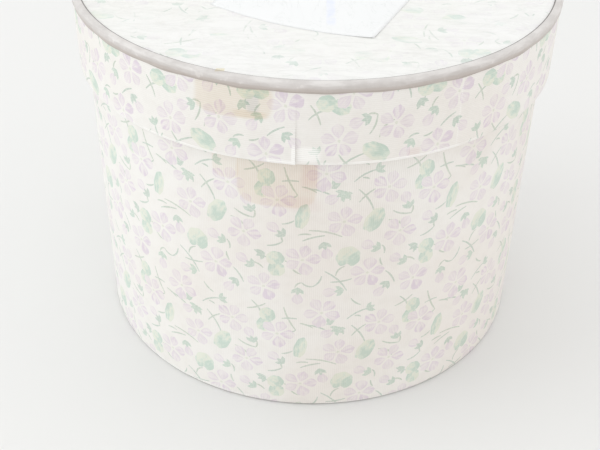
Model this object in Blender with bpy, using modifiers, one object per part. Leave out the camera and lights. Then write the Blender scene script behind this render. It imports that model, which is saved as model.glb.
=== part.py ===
"""Round paper-covered board box with a lift-off lid.

The box is made the way a box maker makes it. Strips of board are bent into rings and closed with
a skived lap and a paper tape. Discs of board are let into them. Printed paper covers the outside
and turns in over the rims, plain paper lines the inside, and a paper edging binds the lid's top
edge. Lengths are in metres, +Z is up, and the origin is under the middle of the foot.
"""

import math

import bpy

MM = 0.001

# Driving dimensions
OVERALL_HEIGHT = 204.0 * MM
LID_RADIUS = 130.0 * MM
SKIRT_DEPTH = 42.5 * MM
BODY_RADIUS = 125.2 * MM

# Materials' thicknesses, and the gap that stands for each glue line
BOARD = 2.0 * MM
SKIRT_BOARD = 1.8 * MM
PAPER = 0.35 * MM
LINING = 0.3 * MM
EDGING = 0.5 * MM
GLUE = 0.3 * MM

# Details
EDGING_CROWN = 0.5 * MM
EDGING_TOP_WIDTH = 4.0 * MM
EDGING_SIDE_DEPTH = 5.0 * MM
EDGING_BEND = 1.6 * MM
RIM_TURN_IN = 12.0 * MM
FOOT_TURN_IN = 14.0 * MM
SKIRT_TURN_IN = 9.0 * MM
FOOT_PAPER_INSET = 4.0 * MM
COVER_BEND = 0.9 * MM
LINING_SETBACK = 5.0 * MM
LAP_SEGMENTS = 2
TAPE_WIDTH = 30.0 * MM
LABEL_WIDTH = 88.0 * MM
LABEL_DEPTH = 60.0 * MM
LABEL_BOW = 6.0 * MM
LABEL_CORNER = 5.0 * MM
LABEL_TURN = math.radians(-24.0)
LABEL_PLACE = (-1.0 * MM, -38.0 * MM)

# Every ring has the same facets, so nested rings stay parallel all round
SEGMENTS = 64
FACET = 2.0 * math.pi / SEGMENTS
BODY_SEAM = 12 * FACET
SKIRT_SEAM = 47 * FACET
MERGE = 0.00005

# Heights of the body's layers, from the floor up
FOOT_PAPER_TOP = LINING
COVER_FOOT = FOOT_PAPER_TOP + GLUE
WALL_FOOT = COVER_FOOT + PAPER + GLUE
BASE_TOP = WALL_FOOT + BOARD
BASE_LINING_FOOT = BASE_TOP + GLUE

# Heights of the lid's layers, from the top down
LID_PAPER_TOP = OVERALL_HEIGHT - EDGING_CROWN - GLUE
LID_BOARD_TOP = LID_PAPER_TOP - PAPER - GLUE
LID_BOARD_FOOT = LID_BOARD_TOP - BOARD
LID_LINING_TOP = LID_BOARD_FOOT - GLUE
LID_LINING_FOOT = LID_LINING_TOP - LINING
SKIRT_FOOT = OVERALL_HEIGHT - SKIRT_DEPTH
SKIRT_BOARD_FOOT = SKIRT_FOOT + PAPER + GLUE
SKIRT_PAPER_TOP = LID_BOARD_TOP - GLUE

# The body's rim stands just under the lid's lining
RIM_TOP = LID_LINING_FOOT - GLUE
WALL_TOP = RIM_TOP - PAPER - GLUE
WALL_LINING_TOP = WALL_TOP - LINING_SETBACK

# Radii of the body's layers, from the outside in
WALL_OUTER = BODY_RADIUS - PAPER - GLUE
WALL_INNER = WALL_OUTER - BOARD
WALL_TAPE_OUTER = WALL_INNER - GLUE
WALL_LINING_OUTER = WALL_TAPE_OUTER - PAPER - GLUE
WALL_LINING_INNER = WALL_LINING_OUTER - LINING

# Radii of the lid's layers, from the outside in
SKIRT_OUTER = LID_RADIUS - PAPER - GLUE
SKIRT_INNER = SKIRT_OUTER - SKIRT_BOARD
SKIRT_TAPE_OUTER = SKIRT_INNER - GLUE
SKIRT_LINING_OUTER = SKIRT_TAPE_OUTER - PAPER - GLUE
SKIRT_LINING_INNER = SKIRT_LINING_OUTER - LINING
EDGING_INNER = LID_RADIUS + GLUE
EDGING_OUTER = EDGING_INNER + EDGING

# Colour and roughness of each material
BARE_BOARD = ((0.42, 0.38, 0.33), 0.9)
GUMMED_TAPE = ((0.50, 0.38, 0.24), 0.7)
PRINTED_PAPER = ((0.80, 0.76, 0.71), 0.6)
LINING_PAPER = ((0.74, 0.70, 0.62), 0.75)
EDGING_PAPER = ((0.60, 0.57, 0.55), 0.55)
LABEL_PAPER = ((0.86, 0.88, 0.90), 0.6)

COLLECTION = "round_paper_box"
SHARP_ANGLE = math.radians(40.0)


def clear_scene():
    for item in list(bpy.data.objects):
        bpy.data.objects.remove(item, do_unlink=True)


def new_collection(name):
    group = bpy.data.collections.get(name) or bpy.data.collections.new(name)
    if group.name not in bpy.context.scene.collection.children:
        bpy.context.scene.collection.children.link(group)
    return group


def plain_material(name, finish):
    """A plain Principled material for one sub-part."""
    colour, roughness = finish
    material = bpy.data.materials.new(name)
    material.use_nodes = True
    shader = material.node_tree.nodes["Principled BSDF"]
    shader.inputs["Base Color"].default_value = (*colour, 1.0)
    shader.inputs["Roughness"].default_value = roughness
    shader.inputs["Metallic"].default_value = 0.0
    return material


def add_object(name, data, finish):
    item = bpy.data.objects.new(name, data)
    data.materials.append(plain_material(name, finish))
    bpy.data.collections[COLLECTION].objects.link(item)
    return item


def facet_radius(radius, angle):
    """Distance from the axis to a facet of the ring of that corner radius, at an angle."""
    from_middle = (angle % FACET) - FACET / 2.0
    return radius * math.cos(FACET / 2.0) / math.cos(from_middle)


def on_ring(radius, angle):
    reach = facet_radius(radius, angle)
    return (reach * math.cos(angle), reach * math.sin(angle))


def turned(name, profile, closed, finish):
    """Turn a profile of (radius, height) points about Z.

    The profile runs down its outer side. A closed one goes back up its inner side, and an open one
    starts and ends on the axis.
    """
    mesh = bpy.data.meshes.new(name)
    count = len(profile)
    edges = [(i, (i + 1) % count) for i in range(count if closed else count - 1)]
    mesh.from_pydata([(radius, 0.0, height) for radius, height in profile], edges, [])
    item = add_object(name, mesh, finish)
    screw = item.modifiers.new("turn", "SCREW")
    screw.axis = "Z"
    screw.angle = 2.0 * math.pi
    screw.steps = SEGMENTS
    screw.render_steps = SEGMENTS
    screw.use_merge_vertices = True
    screw.merge_threshold = MERGE
    shade_round(item)
    return item


def shade_round(item):
    """Settle an object's modifiers into its mesh, smooth round the ring and sharp at its edges."""
    settled = item.evaluated_get(bpy.context.evaluated_depsgraph_get())
    mesh = bpy.data.meshes.new_from_object(settled)
    item.modifiers.clear()
    item.data = mesh
    mesh.shade_smooth()
    mesh.set_sharp_from_angle(angle=SHARP_ANGLE)


def disc(name, radius, foot, top, finish):
    profile = [(0.0, top), (radius, top), (radius, foot), (0.0, foot)]
    return turned(name, profile, False, finish)


def tube(name, outer, inner, foot, top, finish):
    profile = [(outer, top), (outer, foot), (inner, foot), (inner, top)]
    return turned(name, profile, True, finish)


def extruded(name, outline, foot, top, finish):
    """A flat outline of (x, y) points, raised from one height to another."""
    curve = bpy.data.curves.new(name, "CURVE")
    curve.dimensions = "2D"
    curve.fill_mode = "BOTH"
    curve.extrude = (top - foot) / 2.0
    spline = curve.splines.new("POLY")
    spline.points.add(len(outline) - 1)
    for point, (x, y) in zip(spline.points, outline):
        point.co = (x, y, 0.0, 1.0)
    spline.use_cyclic_u = True
    item = add_object(name, curve, finish)
    item.location.z = (top + foot) / 2.0
    return item


def round_corner(centre_x, centre_y, radius, start, end, steps=2):
    """Points on the round corner of a profile or an outline, between two angles in degrees."""
    points = []
    for step in range(steps + 1):
        angle = math.radians(start + (end - start) * step / steps)
        points.append((centre_x + radius * math.cos(angle), centre_y + radius * math.sin(angle)))
    return points


def lapped_ring(name, outer, inner, seam, foot, top, finish):
    """A strip of board bent round, with its two skived ends lying on each other at the seam.

    The glue line between the ends climbs from the inner face to the outer one over the lap.
    """
    lap = LAP_SEGMENTS * FACET
    slope = (outer - inner) / (lap * outer)
    slot = GLUE / slope / outer
    outer_arc = [seam + step * FACET for step in range(SEGMENTS)] + [seam + 2.0 * math.pi - slot]
    inner_arc = [seam + lap + step * FACET for step in range(SEGMENTS)]
    inner_arc.append(seam + lap + 2.0 * math.pi - slot)
    outline = [on_ring(outer, angle) for angle in outer_arc]
    outline += skive(outer, inner, seam + 2.0 * math.pi - slot, lap)[1:-1]
    outline += [on_ring(inner, angle) for angle in reversed(inner_arc)]
    outline += list(reversed(skive(outer, inner, seam, lap)[1:-1]))
    return extruded(name, outline, foot, top, finish)


def skive(outer, inner, start, lap, steps=4):
    """Points that go evenly from the outer face to the inner one over a lap."""
    points = []
    for step in range(steps + 1):
        share = step / steps
        points.append(on_ring(outer + (inner - outer) * share, start + lap * share))
    return points


def tape_strip(name, outer, seam, foot, top):
    """A strip of gummed paper on the inside of a ring, a little wider than its lap."""
    lap = LAP_SEGMENTS * FACET
    overhang = (TAPE_WIDTH / outer - lap) / 2.0
    bends = [seam + step * FACET for step in range(LAP_SEGMENTS + 1)]
    angles = [seam - overhang] + bends + [seam + lap + overhang]
    outline = [on_ring(outer, angle) for angle in angles]
    outline += [on_ring(outer - LINING, angle) for angle in reversed(angles)]
    return extruded(name, outline, foot, top, GUMMED_TAPE)


def make_body_boards():
    lapped_ring("wall_board", WALL_OUTER, WALL_INNER, BODY_SEAM, WALL_FOOT, WALL_TOP, BARE_BOARD)
    disc("base_board", WALL_INNER - GLUE, WALL_FOOT, BASE_TOP, BARE_BOARD)
    tape_top = WALL_TOP - RIM_TURN_IN - GLUE
    tape_strip("wall_seam_tape", WALL_TAPE_OUTER, BODY_SEAM, BASE_LINING_FOOT, tape_top)


def make_body_cover():
    """Printed paper: under the foot, up the wall, over the rim and down the inside."""
    bend = COVER_BEND
    inside = WALL_TAPE_OUTER - PAPER
    foot_end = BODY_RADIUS - FOOT_TURN_IN
    turn_end = WALL_TOP - RIM_TURN_IN
    profile = round_corner(inside + bend, RIM_TOP - bend, bend, 180, 90)
    profile += round_corner(BODY_RADIUS - bend, RIM_TOP - bend, bend, 90, 0)
    profile += round_corner(BODY_RADIUS - bend, COVER_FOOT + bend, bend, 0, -90)
    profile += [(foot_end, COVER_FOOT), (foot_end, COVER_FOOT + PAPER)]
    profile += [(WALL_OUTER, COVER_FOOT + PAPER), (BODY_RADIUS - PAPER, WALL_FOOT)]
    profile += [(BODY_RADIUS - PAPER, WALL_TOP), (WALL_OUTER, RIM_TOP - PAPER)]
    profile += [(WALL_INNER, RIM_TOP - PAPER), (inside + PAPER, WALL_TOP)]
    profile += [(inside + PAPER, turn_end), (inside, turn_end)]
    turned("body_cover", profile, True, PRINTED_PAPER)


def make_body_papers():
    lining_foot = BASE_LINING_FOOT
    tube("wall_lining", WALL_LINING_OUTER, WALL_LINING_INNER, lining_foot, WALL_LINING_TOP, LINING_PAPER)
    disc("base_lining", WALL_LINING_INNER - GLUE, lining_foot, lining_foot + LINING, LINING_PAPER)
    disc("base_paper", BODY_RADIUS - FOOT_PAPER_INSET, 0.0, FOOT_PAPER_TOP, LINING_PAPER)


def make_lid_boards():
    disc("lid_board", SKIRT_INNER - GLUE, LID_BOARD_FOOT, LID_BOARD_TOP, BARE_BOARD)
    skirt_foot = SKIRT_BOARD_FOOT
    lapped_ring("skirt_board", SKIRT_OUTER, SKIRT_INNER, SKIRT_SEAM, skirt_foot, LID_BOARD_TOP, BARE_BOARD)
    tape_foot = SKIRT_FOOT + SKIRT_TURN_IN + GLUE
    tape_strip("skirt_seam_tape", SKIRT_TAPE_OUTER, SKIRT_SEAM, tape_foot, LID_LINING_FOOT - GLUE)


def make_skirt_paper():
    """Printed paper round the skirt, turned in under its lower edge."""
    bend = COVER_BEND
    inside = SKIRT_TAPE_OUTER - PAPER
    turn_end = SKIRT_FOOT + SKIRT_TURN_IN
    profile = [(LID_RADIUS, SKIRT_PAPER_TOP)]
    profile += round_corner(LID_RADIUS - bend, SKIRT_FOOT + bend, bend, 0, -90)
    profile += round_corner(inside + bend, SKIRT_FOOT + bend, bend, -90, -180)
    profile += [(inside, turn_end), (inside + PAPER, turn_end), (inside + PAPER, SKIRT_BOARD_FOOT)]
    profile += [(SKIRT_INNER, SKIRT_FOOT + PAPER), (SKIRT_OUTER, SKIRT_FOOT + PAPER)]
    profile += [(LID_RADIUS - PAPER, SKIRT_BOARD_FOOT), (LID_RADIUS - PAPER, SKIRT_PAPER_TOP)]
    turned("skirt_paper", profile, True, PRINTED_PAPER)


def make_edging():
    """Grey paper band rolled over the lid's top edge, binding the disc to the skirt."""
    bend_radius = EDGING_OUTER - EDGING_BEND
    bend_height = OVERALL_HEIGHT - EDGING_BEND
    inner_edge = EDGING_OUTER - EDGING_TOP_WIDTH
    side_foot = OVERALL_HEIGHT - EDGING_SIDE_DEPTH
    profile = [(inner_edge, OVERALL_HEIGHT)]
    profile += round_corner(bend_radius, bend_height, EDGING_BEND, 90, 0, 4)
    profile += [(EDGING_OUTER, side_foot), (EDGING_INNER, side_foot)]
    profile += round_corner(bend_radius, bend_height, EDGING_BEND - EDGING, 0, 90, 4)
    profile += [(inner_edge, OVERALL_HEIGHT - EDGING)]
    turned("edging_band", profile, True, EDGING_PAPER)


def label_outline():
    """A rectangle with round back corners and a bowed front edge, turned on the lid."""
    half_width = LABEL_WIDTH / 2.0
    half_depth = LABEL_DEPTH / 2.0
    reach_x = half_width - LABEL_CORNER
    reach_y = half_depth - LABEL_CORNER
    points = round_corner(reach_x, reach_y, LABEL_CORNER, 0, 90, 3)
    points += round_corner(-reach_x, reach_y, LABEL_CORNER, 90, 180, 3)
    bow_steps = 10
    for step in range(bow_steps + 1):
        x = -half_width + LABEL_WIDTH * step / bow_steps
        bow = LABEL_BOW * (1.0 - (x / half_width) ** 2)
        points.append((x, -half_depth - bow))
    cosine = math.cos(LABEL_TURN)
    sine = math.sin(LABEL_TURN)
    place_x, place_y = LABEL_PLACE
    return [(place_x + x * cosine - y * sine, place_y + x * sine + y * cosine) for x, y in points]


def make_lid_papers():
    disc("lid_top_paper", SKIRT_OUTER - GLUE, LID_PAPER_TOP - PAPER, LID_PAPER_TOP, PRINTED_PAPER)
    disc("lid_lining", SKIRT_INNER - GLUE, LID_LINING_FOOT, LID_LINING_TOP, LINING_PAPER)
    lining_top = LID_LINING_FOOT - GLUE
    lining_foot = SKIRT_FOOT + LINING_SETBACK
    tube("skirt_lining", SKIRT_LINING_OUTER, SKIRT_LINING_INNER, lining_foot, lining_top, LINING_PAPER)
    label_foot = LID_PAPER_TOP + GLUE
    extruded("top_label", label_outline(), label_foot, label_foot + LINING, LABEL_PAPER)


def make_box():
    clear_scene()
    new_collection(COLLECTION)
    make_body_boards()
    make_body_cover()
    make_body_papers()
    make_lid_boards()
    make_skirt_paper()
    make_edging()
    make_lid_papers()


make_box()
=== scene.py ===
"""Looks of the round paper-covered box: printed papers, edging, label, linings, floor and light.

The print is worked out as a planar map. Each patch of ink is an outline with its own (u, v)
coordinates, one repeat of the print is cut along those outlines, and the repeats are wrapped round
the wall and the skirt and laid on the lid. The materials then paint each patch from its (u, v).
Print lengths are in millimetres, and everything else is in metres.
"""

import math

import bmesh
import bpy
import numpy as np
from mathutils import Matrix, Vector
from mathutils.geometry import delaunay_2d_cdt


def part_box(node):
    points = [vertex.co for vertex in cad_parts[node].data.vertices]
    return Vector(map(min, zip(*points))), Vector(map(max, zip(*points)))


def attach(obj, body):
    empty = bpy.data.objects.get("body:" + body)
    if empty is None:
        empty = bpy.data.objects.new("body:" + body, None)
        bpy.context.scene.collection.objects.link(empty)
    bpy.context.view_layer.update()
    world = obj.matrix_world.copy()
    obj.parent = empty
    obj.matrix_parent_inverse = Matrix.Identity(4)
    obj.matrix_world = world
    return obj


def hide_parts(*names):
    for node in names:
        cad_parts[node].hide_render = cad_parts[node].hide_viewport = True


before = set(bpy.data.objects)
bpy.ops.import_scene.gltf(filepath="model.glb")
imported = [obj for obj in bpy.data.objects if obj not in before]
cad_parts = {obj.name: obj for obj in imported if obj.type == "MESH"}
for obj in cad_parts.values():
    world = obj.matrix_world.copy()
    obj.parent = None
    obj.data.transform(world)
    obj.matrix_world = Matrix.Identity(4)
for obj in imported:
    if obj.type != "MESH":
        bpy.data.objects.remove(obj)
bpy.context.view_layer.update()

MM = 0.001

# Sizes read from the parts in model.glb
BODY_LOW, BODY_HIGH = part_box("body_cover")
SKIRT_LOW, SKIRT_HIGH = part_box("skirt_paper")
BODY_RADIUS = BODY_HIGH.x
LID_RADIUS = SKIRT_HIGH.x
EDGING_LOW, EDGING_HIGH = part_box("edging_band")
LID_PAPER_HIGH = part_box("lid_top_paper")[1]

# Papers, as in the CAD, and the thickness of a visible sheet
PAPER = 0.35 * MM
SHEET = 0.14 * MM
GLUE = 0.3 * MM
EDGING = 0.5 * MM
PAPER_BEND = 0.9 * MM
RIM_TURN_IN = 12.0 * MM
FOOT_TURN_IN = 14.0 * MM
SKIRT_TURN_IN = 9.0 * MM
BODY_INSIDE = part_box("wall_lining")[1].x + GLUE
SKIRT_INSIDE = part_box("skirt_lining")[1].x + GLUE

# The camera's place counts in lengths of the lid's radius, its angles are in radians
CAMERA_PLACE = Vector((-0.0403, -3.9588, 3.1465)) * LID_RADIUS
CAMERA_PITCH = 0.6315
CAMERA_YAW = 0.0028
CAMERA_ROLL = 0.0168
CAMERA_LENS = 59.73

# One repeat of the print, laid out as it falls on the wall: arc from the front centre, and height
REPEATS_ROUND = 10
REPEAT_WIDTH = 2.0 * math.pi * BODY_RADIUS / MM / REPEATS_ROUND
REPEAT_HEIGHT = 86.0
GRID_STEP = 9.0
ROW_HEIGHT = 12.0
GROUND, PETAL, LEAF, STEM, SEPAL, EYE, BARE = range(7)

# x, y, turn in degrees, size
FLOWERS = (
    (5.5, 154.0, -5, 1.10), (36.5, 144.0, 20, 1.02), (61.0, 138.0, 13, 1.05), (15.0, 126.0, 25, 1.02),
    (44.0, 116.5, 5, 1.02), (-5.0, 102.5, 20, 1.06), (28.5, 93.0, 175, 1.05), (54.0, 83.5, 30, 1.02),
)
# x, y, turn, length, width, lobes
LEAVES = (
    (55.0, 147.0, 75, 17.0, 8.6, 2), (30.0, 125.5, 62, 15.5, 9.2, 1), (73.5, 129.0, 78, 15.5, 6.8, 1),
    (18.0, 104.0, 85, 13.5, 12.4, 0), (60.5, 99.0, 95, 16.0, 9.4, 2),
)
# x, y, turn
BUDS = (
    (13.0, 142.0, 210), (47.5, 131.5, 110), (63.0, 118.5, 142), (32.0, 108.5, 153), (47.0, 97.0, 146),
    (38.5, 83.0, 230), (14.0, 82.5, 188), (-7.0, 82.0, 270), (6.0, 111.5, 285),
)
# x, y, turn
SPRIGS = ((31.5, 155.5, 25), (52.5, 104.0, 210), (15.5, 141.0, -40), (9.5, 148.0, 110))
# start x, start y, end x, end y, bend
STEMS = (
    (21.5, 144.5, 30.0, 130.0, 1.2), (22.0, 137.0, 29.5, 144.0, 0.6), (64.5, 157.0, 71.0, 141.5, -0.8),
    (63.5, 149.0, 71.5, 149.5, 0.4), (71.0, 141.5, 65.5, 139.8, 0.8), (73.0, 146.5, 80.0, 143.5, 0.5),
    (-2.0, 145.5, 9.5, 141.0, 0.9), (47.5, 159.0, 53.5, 148.0, 1.2), (45.0, 153.0, 55.0, 158.0, -0.7),
    (5.0, 92.5, 0.5, 85.5, 1.0), (0.5, 85.5, -5.0, 88.0, 0.8), (-5.0, 88.0, -8.5, 84.5, -0.8),
    (6.5, 95.5, 18.0, 82.5, 1.4), (9.5, 88.5, 20.5, 90.0, -0.5), (16.5, 98.5, 12.0, 92.5, -1.2),
    (37.5, 124.5, 46.0, 117.5, 1.8), (56.0, 110.0, 64.0, 113.5, -0.8), (64.0, 113.5, 63.5, 117.5, 0.4),
    (-10.5, 98.0, -5.5, 93.5, -0.8), (-5.5, 93.5, -4.5, 97.5, -0.6), (20.5, 77.0, 26.0, 72.0, -0.6),
    (65.0, 101.5, 71.0, 97.0, 0.6), (49.5, 106.5, 56.0, 102.5, -0.6), (63.5, 124.0, 69.5, 126.5, -0.5),
    (71.5, 118.0, 78.0, 118.5, 0.5), (30.5, 155.0, 19.0, 149.0, -1.2), (23.0, 151.0, 26.5, 150.0, 0.3),
    (39.5, 129.5, 49.5, 126.0, -0.9), (49.5, 126.0, 50.0, 130.5, -0.5), (35.0, 109.5, 36.5, 104.0, 0.8),
    (34.5, 101.5, 36.0, 96.5, -0.4), (49.0, 98.5, 54.0, 95.5, 0.6), (38.0, 92.5, 43.5, 84.0, 0.7),
    (-5.0, 114.5, 6.0, 118.0, 0.6), (-2.0, 121.0, 14.5, 117.0, 1.2), (15.0, 144.0, 17.5, 138.5, 0.9),
)
# A flower's five petals: turn in degrees, length, width
PETALS = ((56, 7.6, 6.0), (122, 8.0, 5.8), (-12, 7.8, 6.2), (192, 7.2, 5.9), (267, 8.0, 7.2))
PETAL_SWELL = 1.36
PETAL_ROUND = 0.7


# ---------------------------------------------------------------- print design


def placed(points, x, y, turn):
    cosine, sine = math.cos(turn), math.sin(turn)
    return [(x + px * cosine - py * sine, y + px * sine + py * cosine) for px, py in points]


def ink(kind, outline, x, y, turn, length, half_width, tone):
    """One patch of ink, its outline anticlockwise, and the frame that gives its (u, v)."""
    return {
        "kind": kind,
        "outline": placed(outline, x, y, turn),
        "frame": (x, y, math.cos(turn), math.sin(turn), length, half_width, tone % 1.0),
    }


def petal(kind, x, y, turn, length, width, tone, steps=4):
    side = []
    for step in range(steps + 1):
        u = step / steps
        swell = math.sin(math.pi * u**PETAL_SWELL) ** PETAL_ROUND if 0 < step < steps else 0.0
        side.append((u * length, 0.53 * width * swell))
    outline = [(a, -b) for a, b in side] + side[-2:0:-1]
    return ink(kind, outline, x, y, turn, length, width / 2.0, tone)


def flower(x, y, turn, size, tone):
    base = math.radians(turn)
    inks = []
    for number, (angle, length, width) in enumerate(PETALS):
        way = base + math.radians(angle)
        from_x = x + 1.5 * size * math.cos(way)
        from_y = y + 1.5 * size * math.sin(way)
        inks.append(petal(PETAL, from_x, from_y, way, length * size, width * size, tone + number * 0.21))
    inks.append(petal(EYE, x - 0.9 * math.cos(base), y - 0.9 * math.sin(base), base, 2.0, 1.5, tone, 3))
    return inks


def lobe(x, y, turn, length, width, notch_depth, tone):
    """One scalloped leaf lobe, notched at its back."""
    count = 27
    outline = []
    for number in range(count):
        angle = 2.0 * math.pi * number / count
        notch = 1.0 - notch_depth * math.exp(-(((math.pi - angle) / 0.38) ** 2))
        reach = (1.0 + 0.035 * math.cos(7.0 * angle + 1.0)) * notch
        outline.append((reach * math.cos(angle) * length / 2.0, reach * math.sin(angle) * width / 2.0))
    return ink(LEAF, outline, x, y, turn, length / 2.0, width / 2.0, tone)


def leaf(x, y, turn, length, width, lobes, tone):
    """A leaf seen open and heart-shaped (0 lobes), edge-on (1), or folded into two lobes (2)."""
    way = math.radians(turn)
    if lobes == 0:
        return [lobe(x, y, way, length, width, 0.4, tone)]
    if lobes == 1:
        return [lobe(x, y, way, length, width, 0.12, tone)]
    ahead_x, ahead_y = math.cos(way) * length * 0.21, math.sin(way) * length * 0.21
    return [
        lobe(x - ahead_x, y - ahead_y, way, 0.6 * length, 0.94 * width, 0.1, 0.15),
        lobe(x + ahead_x, y + ahead_y, way + 0.4, 0.58 * length, width, 0.25, 0.85),
    ]


def calyx(x, y, way, tone):
    sepals = []
    for spread in (-38, 0, 36):
        from_x = x - 2.8 * math.cos(way)
        from_y = y - 2.8 * math.sin(way)
        sepals.append(petal(SEPAL, from_x, from_y, way + math.radians(spread), 5.4, 2.1, tone, 3))
    return sepals


def bud(x, y, turn, tone):
    """A closed bud, its petal held from behind by three sepals."""
    way = math.radians(turn)
    from_x = x + 0.6 * math.cos(way)
    from_y = y + 0.6 * math.sin(way)
    return [petal(PETAL, from_x, from_y, way, 8.2, 6.2, tone)] + calyx(x, y, way, tone)


def stem(x0, y0, x1, y1, bend, tone, steps=4):
    length = math.hypot(x1 - x0, y1 - y0)
    upper, lower = [], []
    for step in range(steps + 1):
        u = step / steps
        middle = bend * 4.0 * u * (1.0 - u)
        half = 0.42 * (0.7 + 0.5 * math.sin(math.pi * u))
        upper.append((u * length, middle + half))
        lower.append((u * length, middle - half))
    turn = math.atan2(y1 - y0, x1 - x0)
    return ink(STEM, lower + upper[::-1], x0, y0, turn, length, 1.0, tone)


def repeat_inks():
    """Every patch of one repeat. A later one is printed over an earlier one."""
    inks = [stem(*row, 0.31 * number) for number, row in enumerate(STEMS, 1)]
    for number, row in enumerate(LEAVES, 1):
        inks += leaf(*row, 0.43 * number)
    for number, row in enumerate(BUDS, 1):
        inks += bud(*row, 0.29 * number)
    for number, (x, y, turn) in enumerate(SPRIGS, 1):
        inks += calyx(x, y, math.radians(turn), 0.4 * number)
    for number, row in enumerate(FLOWERS, 1):
        inks += flower(*row, 0.37 * number)
    return inks


def turned_inks(inks):
    """The same patches after a quarter turn anticlockwise."""
    turned = []
    for patch in inks:
        x, y, cosine, sine, length, half_width, tone = patch["frame"]
        turned.append({
            "kind": patch["kind"],
            "outline": [(-py, px) for px, py in patch["outline"]],
            "frame": (-y, x, -sine, cosine, length, half_width, tone),
        })
    return turned


INKS = repeat_inks()
UPRIGHT = (INKS, REPEAT_WIDTH, REPEAT_HEIGHT)
SIDEWAYS = (turned_inks(INKS), REPEAT_HEIGHT, REPEAT_WIDTH)


# ---------------------------------------------------------------- flat printed sheets


def print_patch(design, s_start, s_end, rows):
    """Cut a rectangle of the print along the ink outlines and a grid.

    Returns flat points, triangles, and for each triangle its ink's kind and three (u, v, tone).
    """
    inks, width, height = design
    low, high = rows[0], rows[-1]
    points, edges, faces, owners = [], [], [], []
    for line in range(math.floor(low / height) - 3, math.ceil(high / height) + 3):
        for column in range(math.floor(s_start / width) - 3, math.ceil(s_end / width) + 3):
            shift_s, shift_t = column * width, line * height
            for rank, patch in enumerate(inks):
                outline = [(x + shift_s, y + shift_t) for x, y in patch["outline"]]
                s_values, t_values = zip(*outline)
                if max(s_values) < s_start or min(s_values) > s_end:
                    continue
                if max(t_values) < low or min(t_values) > high:
                    continue
                first = len(points)
                points += outline
                faces.append(list(range(first, len(points))))
                owners.append((rank, shift_s, shift_t))
    columns = max(1, round((s_end - s_start) / GRID_STEP))
    for s in np.linspace(s_start, s_end, columns + 1):
        edges.append((len(points), len(points) + 1))
        points += [(s, low), (s, high)]
    for t in rows:
        edges.append((len(points), len(points) + 1))
        points += [(s_start, t), (s_end, t)]
    cut = delaunay_2d_cdt([Vector(point) for point in points], edges, faces, 0, 1e-4, True)
    flat = np.array([tuple(point) for point in cut[0]])
    triangles = np.array(cut[2])
    middle = flat[triangles].mean(axis=1)
    inside = (middle[:, 0] > s_start) & (middle[:, 0] < s_end) & (middle[:, 1] > low) & (middle[:, 1] < high)
    kinds = np.full(len(triangles), float(GROUND))
    local = np.zeros((len(triangles), 3, 3))
    for number in np.nonzero(inside)[0]:
        if not cut[5][number]:
            continue
        rank, shift_s, shift_t = max(owners[owner] for owner in cut[5][number])
        x, y, cosine, sine, length, half_width, tone = inks[rank]["frame"]
        away = flat[triangles[number]] - (x + shift_s, y + shift_t)
        local[number, :, 0] = (away[:, 0] * cosine + away[:, 1] * sine) / length
        local[number, :, 1] = (away[:, 1] * cosine - away[:, 0] * sine) / half_width
        local[number, :, 2] = tone
        kinds[number] = inks[rank]["kind"]
    return flat, triangles[inside], kinds[inside], local[inside]


def shifted(patch, shift_s, shift_t=0.0):
    flat, triangles, kinds, local = patch
    return flat + (shift_s, shift_t), triangles, kinds, local


def joined(patches):
    """Patches side by side as one flat sheet, with the points on their shared borders merged."""
    mesh = bpy.data.meshes.new("flat")
    first = 0
    triangles = []
    for patch in patches:
        triangles.append(patch[1] + first)
        first += len(patch[0])
    flat = np.concatenate([patch[0] for patch in patches])
    kinds = np.concatenate([patch[2] for patch in patches])
    local = np.concatenate([patch[3] for patch in patches])
    mesh.from_pydata(np.c_[flat, np.zeros(len(flat))].tolist(), [], np.concatenate(triangles).tolist())
    layer = mesh.attributes.new("ink", "FLOAT_VECTOR", "CORNER")
    layer.data.foreach_set("vector", local.reshape(-1).astype(np.float32))
    kind_layer = mesh.attributes.new("kind", "FLOAT", "FACE")
    kind_layer.data.foreach_set("value", kinds.astype(np.float32))
    work = bmesh.new()
    work.from_mesh(mesh)
    bmesh.ops.remove_doubles(work, verts=work.verts, dist=0.01)
    loose = [vert for vert in work.verts if not vert.link_faces]
    bmesh.ops.delete(work, geom=loose, context="VERTS")
    work.to_mesh(mesh)
    work.free()
    return mesh


def long_sheet(design, start, length, rows):
    """A strip of the print of any length: whole repeats, and then what is left."""
    width = design[1]
    whole = int(length / width)
    one = print_patch(design, start, start + width, rows)
    patches = [shifted(one, number * width) for number in range(whole)]
    patches.append(print_patch(design, start + whole * width, start + length, rows))
    return joined(patches)


# ---------------------------------------------------------------- sheets in space


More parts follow.
